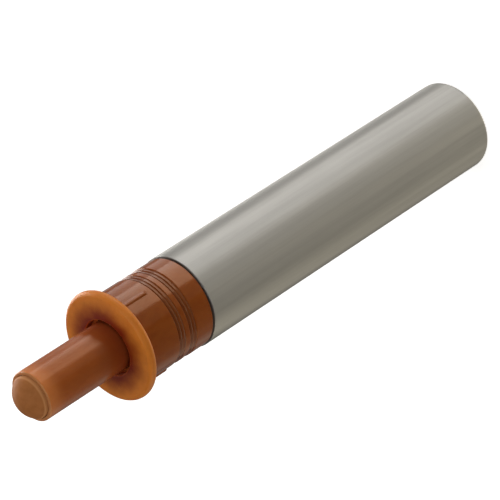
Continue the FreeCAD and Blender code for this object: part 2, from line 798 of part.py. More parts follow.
os.makedirs("parts", exist_ok=True)
for body in bodies:
    body.Shape.exportStep(f"parts/{body.Label}.step")
    print(f"{body.Label}: {body.Shape.Volume:.3f} mm3")
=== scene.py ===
import math

import bmesh
import bpy
from bpy.props import FloatProperty, FloatVectorProperty, IntProperty, PointerProperty
from bpy.types import Operator, Panel, PropertyGroup
from mathutils import Matrix, Vector


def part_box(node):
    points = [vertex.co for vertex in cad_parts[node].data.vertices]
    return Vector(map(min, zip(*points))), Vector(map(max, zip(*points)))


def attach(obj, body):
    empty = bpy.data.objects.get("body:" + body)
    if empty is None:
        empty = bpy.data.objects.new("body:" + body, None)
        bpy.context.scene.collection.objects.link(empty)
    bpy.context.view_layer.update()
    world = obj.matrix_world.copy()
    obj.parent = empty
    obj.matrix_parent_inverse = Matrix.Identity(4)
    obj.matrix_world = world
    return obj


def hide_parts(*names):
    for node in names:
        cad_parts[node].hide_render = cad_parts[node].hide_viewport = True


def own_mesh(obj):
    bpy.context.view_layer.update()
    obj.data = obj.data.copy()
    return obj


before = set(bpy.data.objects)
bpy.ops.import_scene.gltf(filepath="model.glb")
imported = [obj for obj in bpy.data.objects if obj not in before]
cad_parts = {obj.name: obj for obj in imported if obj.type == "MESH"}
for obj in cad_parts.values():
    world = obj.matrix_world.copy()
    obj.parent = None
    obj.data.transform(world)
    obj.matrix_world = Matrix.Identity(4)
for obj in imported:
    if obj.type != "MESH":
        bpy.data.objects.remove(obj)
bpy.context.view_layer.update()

bl_info = {
    "name": "Soft close damper",
    "version": (1, 0, 0),
    "blender": (4, 5, 0),
    "location": "View3D > Sidebar > Damper",
    "description": "Dresses the drill-in soft close damper around its CAD frame",
    "category": "Object",
}

MM = 0.001


def frame_level(node, end):
    """The lowest (0) or highest (1) level of a CAD node, to a hundredth of a millimetre."""
    return round(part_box(node)[end].z, 5)


TUBE_MOUTH = frame_level("outer_tube", 1)
SPIGOT_FOOT = frame_level("nose_housing", 0)
FLANGE_FRONT = frame_level("nose_housing", 1)
PLUNGER_FOOT = frame_level("plunger", 0)
PLUNGER_FRONT = frame_level("plunger", 1)
STEM_FOOT = frame_level("tip_bumper", 0)
DOME_APEX = frame_level("tip_bumper", 1)
ROD_TOP = frame_level("piston_rod", 1)
SPRING_FOOT = frame_level("return_spring", 0)
SPRING_TOP = frame_level("return_spring", 1)

# Turned outlines: an arc may take up to ARC_SHARE of the run beside it, and a run longer than
# HELD_RUN gets a point at HOLD from each end
ARC_STEPS = 5
CROWN_STEPS = 6 * ARC_STEPS
ARC_SHARE = 0.45
HOLD = 0.02 * MM
HELD_RUN = 6 * HOLD
ON_AXIS = 1e-7
SHARP_ANGLE = math.radians(32)
WIRE_SHARP_ANGLE = math.radians(60)

# Crush ribs: half the width of a rib's edge as a share of the soft edge, how near an even step may
# come to it as a share of a step, and how far under the band's radius its skin still counts
RIB_EDGE = 0.3
STEP_ROOM = 0.2
BAND_PLAY = 0.01 * MM


def length(name, description, default):
    """A size in metres that a user may change in the sidebar."""
    return FloatProperty(name=name, description=description, default=default, min=0, unit="LENGTH",
                         precision=5)


def colour(name, description, default):
    return FloatVectorProperty(name=name, description=description, default=default, size=4, min=0,
                               max=1, subtype="COLOR")


def share(name, description, default):
    return FloatProperty(name=name, description=description, default=default, min=0, max=1,
                         subtype="FACTOR")


class TubeSettings(PropertyGroup):
    """The drawn outer tube."""
    radius: length("Radius", "Outside radius of the tube", 5.0 * MM)
    wall: length("Wall", "Thickness of the drawn wall", 0.45 * MM)
    floor: length("Floor", "Thickness of the closed end", 0.9 * MM)
    edge_round: length("Edge round", "Rounding of the closed end", 0.35 * MM)
    mouth_break: length("Mouth break", "Edge break at the open end", 0.06 * MM)
    inner_round: length("Inner round", "Rounding inside the closed end", 0.3 * MM)
    facets: IntProperty(name="Facets", description="Steps round the tube", default=256, min=48)
    metal: colour("Metal", "Colour of the drawn metal", (0.418, 0.403, 0.374, 1))
    metal_dark: colour("Drawing lines", "Colour of the metal in its drawing lines",
                       (0.392, 0.378, 0.35, 1))
    # Darker metal in a band at the tube's mouth, beside the neck gap.
    metal_at_mouth: colour("Cut edge", "Colour of the bare metal at the cut mouth",
                       (0.33, 0.318, 0.3, 1))
    roughness: share("Roughness", "Roughness of the drawn skin", 0.45)
    anisotropy: share("Polish", "How far the polish round the tube stretches its gloss along it",
                      0.78)


class NoseSettings(PropertyGroup):
    """The moulded nose."""
    spigot_radius: length("Spigot radius", "Radius of the part inside the tube", 4.54 * MM)
    neck_gap: length("Neck gap", "Gap between the tube's mouth and the rear band", 0.19 * MM)
    rear_band_radius: length("Rear band radius", "Radius of the band next to the tube", 4.89 * MM)
    rear_band_length: length("Rear band length", "Length of the band next to the tube", 2.23 * MM)
    front_band_radius: length("Front band radius", "Radius of the band behind the flange",
                              4.86 * MM)
    groove_pitch: length("Groove pitch", "Distance between the grooves", 1.52 * MM)
    notch_count: IntProperty(name="Notches", description="Fine notches in each groove", default=3,
                             min=1)
    notch_pitch: length("Notch pitch", "Distance between a groove's fine notches", 0.40 * MM)
    notch_width: length("Notch width", "Width of a groove's fine notches", 0.20 * MM)
    notch_depth: length("Notch depth", "Depth of a notch under the ridge beside it", 0.065 * MM)
    notch_step: length("Notch step", "How much deeper each notch lies than the one before it",
                       0.042 * MM)
    groove_count: IntProperty(name="Grooves", description="Number of grooves", default=2, min=0)
    flange_radius: length("Flange radius", "Outside radius of the flange", 5.9 * MM)
    flange_thickness: length("Flange thickness", "Thickness of the flange", 1.0 * MM)
    flange_round: length("Flange round", "Rounding of the flange's rim", 0.45 * MM)
    root_round: length("Root round", "Fillet behind the flange", 0.2 * MM)
    mouth_radius: length("Mouth radius", "Radius of the recess round the plunger", 3.0 * MM)
    mouth_depth: length("Mouth depth", "Depth of the recess round the plunger", 0.8 * MM)
    mouth_round: length("Mouth round", "Rounding of the recess's lip", 0.12 * MM)
    guide_radius: length("Guide radius", "Radius of the bore that guides the plunger", 2.71 * MM)
    guide_foot: length("Guide foot", "Level at which the guide bore ends", 48.5 * MM)
    relief_radius: length("Relief radius", "Radius of the bore round the plunger's collar",
                          3.26 * MM)
    soft_edge: length("Soft edge", "Rounding of the moulding's small edges", 0.03 * MM)
    rib_count: IntProperty(name="Ribs", description="Number of crush ribs", default=3, min=0)
    rib_width: length("Rib width", "Width of a crush rib at its foot", 0.5 * MM)
    rib_top_width: length("Rib top", "Width of a crush rib's flat top", 0.2 * MM)
    rib_height: length("Rib height", "Height of a crush rib above its band", 0.14 * MM)
    rib_length: length("Rib length", "Full height part of a crush rib", 3.26 * MM)
    rib_lead: length("Rib lead", "Sloped end of a crush rib", 0.2 * MM)
    facets: IntProperty(name="Facets", description="Steps round the nose", default=240, min=48)
    # Painted glow: from this radius out the flange is painted paler towards its rim, standing in
    # for light that passes through it.
    glow_from: length("Thin from", "Radius at which the flange starts to let light through",
                      3.05 * MM)
    body: colour("Body", "Colour of the moulding where it is thick", (0.284, 0.0655, 0.0075, 1))
    body_dark: colour("Body flow", "Colour of the darker flow marks", (0.25, 0.0535, 0.0058, 1))
    # Painted shade: the moulding is painted darker in its grooves.
    groove: colour("Grooves", "Colour of the moulding in its grooves", (0.17, 0.036, 0.004, 1))
    # Painted shade: the flange's face is painted darkest beside the plunger.
    flange_shade: colour("Deep", "Colour of the flange beside the plunger", (0.185, 0.015, 0.003, 1))
    # Painted glow: the recess round the plunger is painted a bright red, standing in for light that
    # passes through the moulding into its shade.
    mouth: colour("Mouth", "Colour inside the recess round the plunger", (0.48, 0.09, 0.018, 1))
    # Painted glow: the flange is painted clear amber towards its rim, standing in for light that
    # passes through it.
    thin: colour("Thin", "Colour of the moulding where the flange is thin", (0.66, 0.205, 0.028, 1))
    roughness: share("Roughness", "Roughness of the moulded skin", 0.15)
    translucency: share("Translucency", "Share of the light that passes under the skin", 0.16)


class PlungerSettings(PropertyGroup):
    """The pushrod and its domed tip."""
    radius: length("Radius", "Radius of the plunger", 2.65 * MM)
    collar_radius: length("Collar radius", "Radius of the collar that stops the plunger", 3.2 * MM)
    collar_length: length("Collar length", "Length of the collar", 1.4 * MM)
    rod_pocket_radius: length("Rod pocket radius", "Radius of the pocket for the rod", 1.26 * MM)
    edge_round: length("Edge round", "Rounding of the plunger's front edge", 0.14 * MM)
    seat_radius: length("Seat radius", "Radius of the recess that takes the tip", 2.31 * MM)
    seat_depth: length("Seat depth", "Depth of the recess that takes the tip", 0.6 * MM)
    stem_hole_radius: length("Stem hole radius", "Radius of the hole for the tip's stem", 1.26 * MM)
    tip_stem_radius: length("Stem radius", "Radius of the tip's stem", 1.25 * MM)
    tip_disc_radius: length("Tip disc radius", "Radius of the tip's disc", 2.25 * MM)
    tip_rise: length("Tip rise", "How far the disc's side stands out of the plunger", 0.23 * MM)
    dome_shoulder: length("Dome shoulder", "Rounding between the disc's side and the dome",
                          0.3 * MM)
    soft_edge: length("Soft edge", "Rounding of small edges", 0.03 * MM)
    facets: IntProperty(name="Facets", description="Steps round the plunger", default=192, min=48)
    body: colour("Body", "Colour of the plunger", (0.385, 0.089, 0.0125, 1))
    body_dark: colour("Body flow", "Colour of the darker flow marks", (0.34, 0.075, 0.01, 1))
    # Painted shade: darker where the plunger leaves the nose.
    root: colour("Root", "Colour of the plunger where it leaves the nose", (0.235, 0.045, 0.012, 1))
    # Painted highlight: a paler ring at the plunger's front edge.
    end_highlight: colour("End face", "Colour of the plunger's front ring", (0.5, 0.205, 0.075, 1))
    # Painted glow: paler towards the plunger's thin front end.
    front: colour("Front", "Colour of the plunger's thin front end", (0.6, 0.184, 0.045, 1))
    # Painted highlight: a paler ring on the thin edge round the dome.
    shoulder_highlight: colour("Tip shoulder", "Colour of the thin edge round the dome",
                         (0.55, 0.24, 0.09, 1))
    tip: colour("Tip", "Colour of the domed tip", (0.41, 0.15, 0.046, 1))
    tip_dark: colour("Tip marks", "Colour of the rubbed marks on the tip", (0.36, 0.13, 0.038, 1))
    roughness: share("Roughness", "Roughness of the plunger's skin", 0.25)
    translucency: share("Translucency", "Share of the light that passes under the skin", 0.14)


class SpringSettings(PropertyGroup):
    """The return spring inside the damping cylinder."""
    coil_radius: length("Coil radius", "Radius of the wire's centre line", 2.75 * MM)
    wire_radius: length("Wire radius", "Radius of the wire", 0.24 * MM)
    turns: IntProperty(name="Turns", description="Turns of wire", default=8, min=1)
    turn_steps: IntProperty(name="Turn steps", description="Steps round each turn", default=40,
                            min=12)
    wire_sides: IntProperty(name="Wire sides", description="Steps round the wire", default=12,
                            min=6)
    stroke: length("Stroke", "How far the plunger presses the spring", 10.0 * MM)


class CartridgeSettings(PropertyGroup):
    """Finishes of the pieces inside the tube."""
    natural: colour("Natural plastic", "Colour of the natural mouldings", (0.76, 0.74, 0.66, 1))
    natural_dark: colour("Natural shade", "Colour of their flow marks", (0.66, 0.64, 0.56, 1))
    steel: colour("Steel", "Colour of the bright steel", (0.62, 0.62, 0.63, 1))
    steel_dark: colour("Steel marks", "Colour of the turning marks", (0.46, 0.46, 0.47, 1))
    rubber: colour("Rubber", "Colour of the black rubber", (0.018, 0.018, 0.02, 1))
    rubber_worn: colour("Rubber bloom", "Colour of its rubbed skin", (0.045, 0.045, 0.048, 1))
    foam: colour("Foam", "Colour of the compensator foam", (0.06, 0.06, 0.065, 1))
    foam_light: colour("Foam cells", "Colour of its cell walls", (0.13, 0.13, 0.14, 1))
    cell: length("Foam cell", "Width of a foam cell", 0.16 * MM)


class StageSettings(PropertyGroup):
    """Camera, floor and studio light."""
    lens: FloatProperty(name="Lens", description="Focal length on a 36 mm sensor, in millimetres",
                        default=210.8)
    sensor: FloatProperty(name="Sensor", description="Sensor width in millimetres", default=36)
    aim: FloatVectorProperty(name="Aim", description="Point that the camera looks at", size=3,
                             unit="LENGTH", default=(0.232 * MM, 0.408 * MM, 32.031 * MM))
    distance: length("Distance", "Distance from the camera to that point", 295.316 * MM)
    azimuth: FloatProperty(name="Azimuth", description="Bearing of the camera from +X",
                           subtype="ANGLE", default=math.radians(-30.730))
    elevation: FloatProperty(name="Elevation", description="Height of the camera above the floor",
                             subtype="ANGLE", default=math.radians(37.128))
    roll: FloatProperty(name="Roll", description="Turn of the camera about its own axis",
                        subtype="ANGLE", default=math.radians(-122.819))
    floor_size: length("Floor", "Width of the floor", 0.7)
    floor: colour("Floor colour", "Colour of the floor", (0.86, 0.86, 0.86, 1))
    floor_white: share("Floor white",
                       "Share of the white backdrop that the floor adds for the camera", 0.7)
    backdrop: colour("Backdrop", "Colour behind the object", (1, 1, 1, 1))
    room: colour("Room light", "Colour of the light from all round", (1.0, 0.96, 0.85, 1))
    room_strength: FloatProperty(name="Room strength", default=0.11, min=0,
                                 description="Level of the light from all round")
    backdrop_in_gloss: share("Backdrop in gloss",
                             "Share of the white backdrop that gloss and clear pieces show", 0.1)


# Meshes

def rounded_corner(before, corner, after, rounding):
    """The points of an arc that takes the place of a corner of an outline."""
    into, out = (before - corner), (after - corner)
    angle = into.angle(out)
    reach = min(rounding / math.tan(angle / 2), ARC_SHARE * into.length, ARC_SHARE * out.length)
    radius = reach * math.tan(angle / 2)
    into.normalize()
    out.normalize()
    centre = corner + (into + out).normalized() * radius / math.sin(angle / 2)
    start, end = corner + into * reach - centre, corner + out * reach - centre
    sweep = start.angle_signed(end)
    turns = [-sweep * step / ARC_STEPS for step in range(ARC_STEPS + 1)]
    return [centre + start @ Matrix.Rotation(-turn, 2) for turn in turns]


def with_holds(points, closed):
    """Adds a point just inside each end of the long straight runs, so that they shade straight."""
    held = []
    following = points[1:] + points[:1] if closed else points[1:]
    for start, end in zip(points, following):
        held.append(start)
        run = end - start
        if run.length > HELD_RUN:
            held += [start + run.normalized() * HOLD, end - run.normalized() * HOLD]
    return held if closed else held + [points[-1]]


def rounded_outline(corners, closed):
    """An outline of (radius, level) points from corners of (radius, level, rounding)."""
    places = [Vector(corner[:2]) for corner in corners]
    outline = []
    for index, (place, corner) in enumerate(zip(places, corners)):
        inside = closed or 0 < index < len(corners) - 1
        if corner[2] > 0 and inside:
            following = places[(index + 1) % len(places)]
            outline += rounded_corner(places[index - 1], place, following, corner[2])
        else:
            outline.append(place)
    return with_holds(outline, closed)


def even_angles(count):
    return [math.tau * step / count for step in range(count)]


def finished_mesh(mesh, name, sharp_angle):
    """Mesh data with outward faces that shade smooth, but for edges sharper than an angle."""
    bmesh.ops.recalc_face_normals(mesh, faces=mesh.faces)
    data = bpy.data.meshes.new(name)
    mesh.to_mesh(data)
    mesh.free()
    data.shade_smooth()
    data.set_sharp_from_angle(angle=sharp_angle)
    return data


def turned_mesh(name, outline, angles, closed, radius_at=None):
    """A mesh turned round the Z axis. radius_at(angle, radius, level) may move its points."""
    mesh = bmesh.new()
    rings = []
    for radius, level in outline:
        if radius < ON_AXIS:
            rings.append([mesh.verts.new((0, 0, level))])
            continue
        radii = [radius_at(angle, radius, level) if radius_at else radius for angle in angles]
        rings.append([mesh.verts.new((out * math.cos(angle), out * math.sin(angle), level))
                      for out, angle in zip(radii, angles)])
    for lower, upper in zip(rings, rings[1:] + (rings[:1] if closed else [])):
        for step in range(len(angles)):
            following = (step + 1) % len(angles)
            corners = [ring[index % len(ring)] for ring, index in
                       ((lower, step), (lower, following), (upper, following), (upper, step))]
            corners = list(dict.fromkeys(corners))
            if len(corners) > 2:
                mesh.faces.new(corners)
    return finished_mesh(mesh, name, SHARP_ANGLE)


def coil_mesh(name, spring):
    """A round wire wound evenly from the spring's foot to its top, closed at both ends."""
    mesh = bmesh.new()
    steps = spring.turns * spring.turn_steps
    foot = SPRING_FOOT + spring.wire_radius
    rise = SPRING_TOP - SPRING_FOOT - 2 * spring.wire_radius
    turns = even_angles(spring.wire_sides)
    rings = []
    for step in range(steps + 1):
        angle = math.tau * step / spring.turn_steps
        outward = Vector((math.cos(angle), math.sin(angle), 0))
        centre = outward * spring.coil_radius + Vector((0, 0, foot + rise * step / steps))
        skin = [outward * math.cos(turn) + Vector((0, 0, math.sin(turn))) for turn in turns]
        rings.append([mesh.verts.new(centre + spring.wire_radius * place) for place in skin])
    for lower, upper in zip(rings, rings[1:]):
        for side in range(spring.wire_sides):
            following = (side + 1) % spring.wire_sides
            mesh.faces.new((lower[side], lower[following], upper[following], upper[side]))
    mesh.faces.new(rings[0])
    mesh.faces.new(rings[-1])
    return finished_mesh(mesh, name, WIRE_SHARP_ANGLE)


def dress_piece(name, data, material, node, body):
    """Puts a finished mesh in the place of its CAD node, on that node's body."""
    piece = bpy.data.objects.new(name, data)
    bpy.context.scene.collection.objects.link(piece)
    data.materials.append(material)
    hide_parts(node)
    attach(piece, body)
    return piece


def tube_outline(tube):
    """The cup of the outer tube, from the outside of its floor to the inside."""
    bore = tube.radius - tube.wall
    return rounded_outline([
        (0, 0, 0),
        (tube.radius, 0, tube.edge_round),
        (tube.radius, TUBE_MOUTH, tube.mouth_break),
        (bore, TUBE_MOUTH, tube.mouth_break / 2),
        (bore, tube.floor, tube.inner_round),
        (0, tube.floor, 0),
    ], closed=False)


def groove_corners(nose, foot):
    """A shallow groove from its lower to its upper rim. Its notches deepen towards the flange."""
    band, edge = nose.front_band_radius, nose.soft_edge
    corners = [(band, foot, edge)]
    for notch in range(nose.notch_count):
        level = foot + notch * nose.notch_pitch + nose.notch_width / 2
        floor = band - nose.notch_depth - notch * nose.notch_step
        ridge = band - (notch + 1) * nose.notch_step if notch < nose.notch_count - 1 else band
        corners += [(floor, level, edge), (ridge, level + nose.notch_width / 2, edge)]
        if ridge < band:
            corners.append((ridge, level + nose.notch_pitch - nose.notch_width / 2, edge))
    return corners


def rib_levels(nose):
    """The foot and the end of a crush rib's slope, and the flange's back, where the rib ends."""
    flange_back = FLANGE_FRONT - nose.flange_thickness
    rib_end = flange_back - nose.rib_length
    return rib_end - nose.rib_lead, rib_end, flange_back


def nose_outline(nose):
    """The moulded nose in section: outside from spigot to flange, then back down the bore."""
    edge = nose.soft_edge
    band_foot = TUBE_MOUTH + nose.neck_gap
    rear_top = band_foot + nose.rear_band_length
    rib_foot, rib_end, flange_back = rib_levels(nose)
    mouth_floor = FLANGE_FRONT - nose.mouth_depth
    corners = [
        (nose.relief_radius, SPIGOT_FOOT, edge),
        (nose.spigot_radius, SPIGOT_FOOT, 4 * edge),
        (nose.spigot_radius, band_foot, 0),
        (nose.rear_band_radius, band_foot, 2 * edge),
        (nose.rear_band_radius, rear_top, edge / 2),
    ]
    for groove in range(nose.groove_count):
        corners += groove_corners(nose, rear_top + groove * nose.groove_pitch)
    corners += [
        (nose.front_band_radius, rib_foot, 0),
        (nose.front_band_radius, rib_end, 0),
        (nose.front_band_radius, flange_back, nose.root_round),
        (nose.flange_radius, flange_back, nose.flange_round),
        (nose.flange_radius, FLANGE_FRONT, nose.flange_round),
        (nose.mouth_radius, FLANGE_FRONT, nose.mouth_round),
        (nose.mouth_radius, mouth_floor, edge),
        (nose.guide_radius, mouth_floor, edge),
        (nose.guide_radius, nose.guide_foot, edge),
        (nose.relief_radius, nose.guide_foot, 0),
    ]
    return rounded_outline(corners, closed=True)


def rib_centres(nose):
    return [math.tau * rib / nose.rib_count for rib in range(nose.rib_count)]


def rib_side(nose, across):
    """How high a crush rib stands beside its middle, from 0 at its foot to 1 on its top."""
    foot, top = nose.rib_width / 2, nose.rib_top_width / 2
    return min(max((foot - across) / (foot - top), 0), 1)


def ribbed_angles(nose):
    """Even steps round the nose, with close steps at the sides of the ribs."""
    foot, top = nose.rib_width / 2, nose.rib_top_width / 2
    edge = RIB_EDGE * nose.soft_edge
    turns = [side * (place + step) / nose.front_band_radius
             for side in (-1, 1) for place in (foot, top) for step in (-edge, edge)]
    close = [(centre + turn) % math.tau for centre in rib_centres(nose) for turn in turns]
    room = STEP_ROOM * math.tau / nose.facets
    even = [angle for angle in even_angles(nose.facets)
            if all(abs(angle - other) > room for other in close)]
    return sorted(even + close)


def rib_radius_at(nose):
    """How far the crush ribs push the skin of the front band out."""
    rib_foot, _, flange_back = rib_levels(nose)
    band = nose.front_band_radius

    def radius_at(angle, radius, level):
        on_skin = band - BAND_PLAY <= radius <= band + nose.rib_height
        if not (on_skin and rib_foot <= level <= flange_back):
            return radius
        turns = [abs(math.remainder(angle - centre, math.tau)) for centre in rib_centres(nose)]
        ramp = min((level - rib_foot) / nose.rib_lead, 1)
        return max(radius, band + nose.rib_height * rib_side(nose, min(turns) * band) * ramp)

    return radius_at


def plunger_outline(plunger):
    """The plunger in section, from the end of the rod's pocket to the end of the stem's hole."""
    edge = plunger.soft_edge
    collar_top = PLUNGER_FOOT + plunger.collar_length
    seat_level = PLUNGER_FRONT - plunger.seat_depth
    return rounded_outline([
        (0, ROD_TOP, 0),
        (plunger.rod_pocket_radius, ROD_TOP, 0),
        (plunger.rod_pocket_radius, PLUNGER_FOOT, edge),
        (plunger.collar_radius, PLUNGER_FOOT, 3 * edge),
        (plunger.collar_radius, collar_top, edge),
        (plunger.radius, collar_top, edge),
        (plunger.radius, PLUNGER_FRONT, plunger.edge_round),
        (plunger.seat_radius, PLUNGER_FRONT, edge / 2),
        (plunger.seat_radius, seat_level, edge),
        (plunger.stem_hole_radius, seat_level, 0),
        (plunger.stem_hole_radius, STEM_FOOT, 0),
        (0, STEM_FOOT, 0),
    ], closed=False)


def dome_arc(rim, apex, shoulder):
    """The shoulder and crown of a dome, from the rim of its side to its apex on the axis."""
    height = apex - rim[1]
    crown = (rim[0] ** 2 + height ** 2) / (2 * height)
    across = rim[0] - shoulder
    opening = math.asin(across / (crown - shoulder))
    foot = apex - crown + (crown - shoulder) * math.cos(opening)
    level = math.pi / 2
    turns = [level + (opening - level) * step / ARC_STEPS for step in range(ARC_STEPS + 1)]
    side = [Vector((across + shoulder * math.sin(turn), foot + shoulder * math.cos(turn)))
            for turn in turns]
    turns = [opening * (CROWN_STEPS - step) / CROWN_STEPS for step in range(1, CROWN_STEPS + 1)]
    return side + [Vector((crown * math.sin(turn), apex - crown + crown * math.cos(turn)))
                   for turn in turns]


def tip_outline(plunger):
    """The domed tip in section, from the foot of its stem to the apex."""
    edge = plunger.soft_edge
    seat_level = PLUNGER_FRONT - plunger.seat_depth
    rim = Vector((plunger.tip_disc_radius, PLUNGER_FRONT + plunger.tip_rise))
    dome = dome_arc(rim, DOME_APEX, plunger.dome_shoulder)
    return rounded_outline([
        (0, STEM_FOOT, 0),
        (plunger.tip_stem_radius, STEM_FOOT, 3 * edge),
        (plunger.tip_stem_radius, seat_level, 0),
        (plunger.tip_disc_radius, seat_level, 0),
        (*dome[0], 0),
    ], closed=False) + dome[1:]


# Finishes

# How far red, green and blue light travel under a moulding's skin
AMBER_DEPTH = (0.5 * MM, 0.16 * MM, 0.06 * MM)
NATURAL_DEPTH = (0.8 * MM, 0.7 * MM, 0.6 * MM)

# The levels of a noise between which a finish runs from one end to the other
NOISE_SPAN = (0.35, 0.65)
WIDE_SPAN = (0.3, 0.7)
METAL_SPAN = (0.38, 0.62)


class Nodes:
    """A node tree, with short calls that make its nodes and link them."""

    def __init__(self, tree):
        self.tree = tree

    def feed(self, socket, value):
        """Sets a socket to a constant, or links it to another node's socket."""
        if isinstance(value, bpy.types.NodeSocket):
            self.tree.links.new(value, socket)
        else:
            socket.default_value = value

    def node(self, kind, inputs, **settings):
        made = self.tree.nodes.new("ShaderNode" + kind)
        for setting, value in settings.items():
            setattr(made, setting, value)
        for socket, value in inputs.items():
            self.feed(made.inputs[socket], value)
        return made

    def math(self, operation, *values):
        return self.node("Math", dict(enumerate(values)), operation=operation).outputs["Value"]


class Finish(Nodes):
    """A material, with short calls for the nodes that the finishes share."""

    def __init__(self, name, **surface):
        self.material = bpy.data.materials.new(name)
        self.material.use_nodes = True
        super().__init__(self.material.node_tree)
        self.shader = self.tree.nodes["Principled BSDF"]
        self.set(**surface)

    def set(self, **surface):
        """Feeds the shader's sockets, whose names are written with underscores for spaces."""
        for socket, value in surface.items():
            self.feed(self.shader.inputs[socket.replace("_", " ")], value)
        return self.material

    def places(self, stretch=(1, 1, 1)):
        """Object coordinates, squeezed along any axis whose factor is under 1."""
        coordinates = self.node("TexCoord", {}).outputs["Object"]
        return self.node("Mapping", {"Vector": coordinates, "Scale": stretch}).outputs["Vector"]

    def radius(self):
        """Distance from the damper's axis."""
        flat = self.places((1, 1, 0))
        return self.node("VectorMath", {0: flat}, operation="LENGTH").outputs["Value"]

    def level(self):
        """Height above the damper's closed end."""
        return self.node("SeparateXYZ", {0: self.places()}).outputs["Z"]

    def noise(self, places, size, detail=3, roughness=0.5):
        """Noise whose marks are about as wide as the size in metres."""
        inputs = {"Vector": places, "Scale": 1 / size, "Detail": detail, "Roughness": roughness}
        return self.node("TexNoise", inputs).outputs["Fac"]

    def remap(self, value, low, high, to_low=0.0, to_high=1.0):
        """A value that eases from one end to the other while its input goes from low to high."""
        inputs = {"Value": value, "From Min": low, "From Max": high,
                  "To Min": to_low, "To Max": to_high}
        return self.node("MapRange", inputs, interpolation_type="SMOOTHSTEP").outputs["Result"]

    def varied(self, noise, middle, spread, span=NOISE_SPAN):
        """A value that runs with a noise from a spread under its middle to a spread over it."""
        return self.remap(noise, *span, middle - spread, middle + spread)

    def blend(self, first, second, weight):
        """The sum of two values, where the second has the weight and the first has the rest."""
        parts = self.math("MULTIPLY", first, 1 - weight), self.math("MULTIPLY", second, weight)
        return self.math("ADD", *parts)

    def mix(self, factor, first, second):
        """A colour between two colours."""
        return self.node("Mix", {0: factor, 6: first, 7: second}, data_type="RGBA").outputs[2]

    def mottled(self, noise, dark, light, span=NOISE_SPAN):
        """A colour that runs with a noise from a dark one to a light one."""
        return self.mix(self.remap(noise, *span), dark, light)

    def bump(self, height, depth, normal=None):
        inputs = {"Height": height, "Distance": depth, "Strength": 1.0}
        if normal:
            inputs["Normal"] = normal
        return self.node("Bump", inputs).outputs["Normal"]


def drawn_metal(tube):
    """Satin drawn metal: lines along the tube, a darker cut mouth and handling marks."""
    finish = Finish("drawn_metal", Metallic=1.0, Anisotropic=tube.anisotropy,
                    Anisotropic_Rotation=0.25)
    mouth_band = (TUBE_MOUTH - 0.12 * MM, TUBE_MOUTH - 0.02 * MM)
    along = finish.places((1, 1, 0.012))
    fine = finish.noise(along, size=0.07 * MM, detail=2)
    broad = finish.noise(along, size=0.55 * MM, detail=2)
    handling = finish.noise(finish.places((1, 1, 0.4)), size=3.0 * MM, detail=4, roughness=0.6)
    lines = finish.blend(fine, broad, weight=0.55)
    skin = finish.mottled(lines, tube.metal_dark, tube.metal, span=(0.36, 0.62))
    # Darker towards the mouth.
    colour_out = finish.mix(finish.remap(finish.level(), *mouth_band), skin, tube.metal_at_mouth)
    rough = finish.varied(finish.blend(lines, handling, weight=0.4), tube.roughness, spread=-0.025)
    normal = finish.bump(broad, depth=0.0012 * MM, normal=finish.bump(fine, depth=0.0005 * MM))
    return finish.set(Base_Color=colour_out, Roughness=rough, Normal=normal)


def moulded_skin(finish, grain):
    """The fine spark texture of a moulded skin, with a slow waviness under it."""
    places = finish.places()
    wavy = finish.bump(finish.noise(places, size=1.6 * MM, detail=1), depth=0.004 * MM)
    return finish.bump(finish.noise(places, size=grain, detail=2), depth=0.0012 * MM, normal=wavy)


def amber_moulding(nose):
    """Amber-brown moulding: painted shade in grooves and by the plunger, painted glow at rim and
    recess.
    """
    finish = Finish("amber_moulding", IOR=1.5, Specular_IOR_Level=0.36,
                    Specular_Tint=(1.0, 0.62, 0.36, 1.0), Subsurface_Weight=nose.translucency,
                    Subsurface_Scale=1.0, Subsurface_Radius=AMBER_DEPTH)
    flange_back = FLANGE_FRONT - nose.flange_thickness
    shaded_groove_radii = (nose.front_band_radius - 0.06 * MM, nose.front_band_radius - 0.005 * MM)
    flange_edge = (flange_back - 0.1 * MM, flange_back + 0.05 * MM)
    mouth_edge = (nose.mouth_radius + 0.02 * MM, nose.mouth_radius + 0.15 * MM)
    glow_ramp = (nose.glow_from, nose.flange_radius - 0.3 * MM)
    radius = finish.radius()
    flow = finish.noise(finish.places((1, 1, 0.5)), size=1.3 * MM, detail=4, roughness=0.55)
    body = finish.mottled(flow, nose.body_dark, nose.body)
    # Painted shade: the skin turns to the groove colour where it sinks under the front band.
    body = finish.mix(finish.remap(radius, *shaded_groove_radii), nose.groove, body)
    # From the painted shade beside the plunger to the painted glow at the rim, with flow marks.
    outward = finish.math("ADD", finish.remap(radius, *glow_ramp),
                          finish.varied(flow, 0, 0.1, WIDE_SPAN))
    past_mouth = finish.remap(radius, *mouth_edge)
    # The flange's face: painted glow in the recess, then painted shade beside the plunger running
    # out to painted glow at the rim.
    flange = finish.mix(past_mouth, nose.mouth, finish.mix(outward, nose.flange_shade, nose.thin))
    on_flange = finish.remap(finish.level(), *flange_edge)
    skin = finish.varied(finish.noise(finish.places(), size=0.25 * MM), nose.roughness, 0.05,
                         WIDE_SPAN)
    matt = finish.math("MULTIPLY", on_flange,
                       finish.remap(past_mouth, 0, 1, to_low=0.8, to_high=0.25))
    return finish.set(Base_Color=finish.mix(on_flange, body, flange),
                      Roughness=finish.math("ADD", skin, matt),
                      Normal=moulded_skin(finish, grain=0.09 * MM))


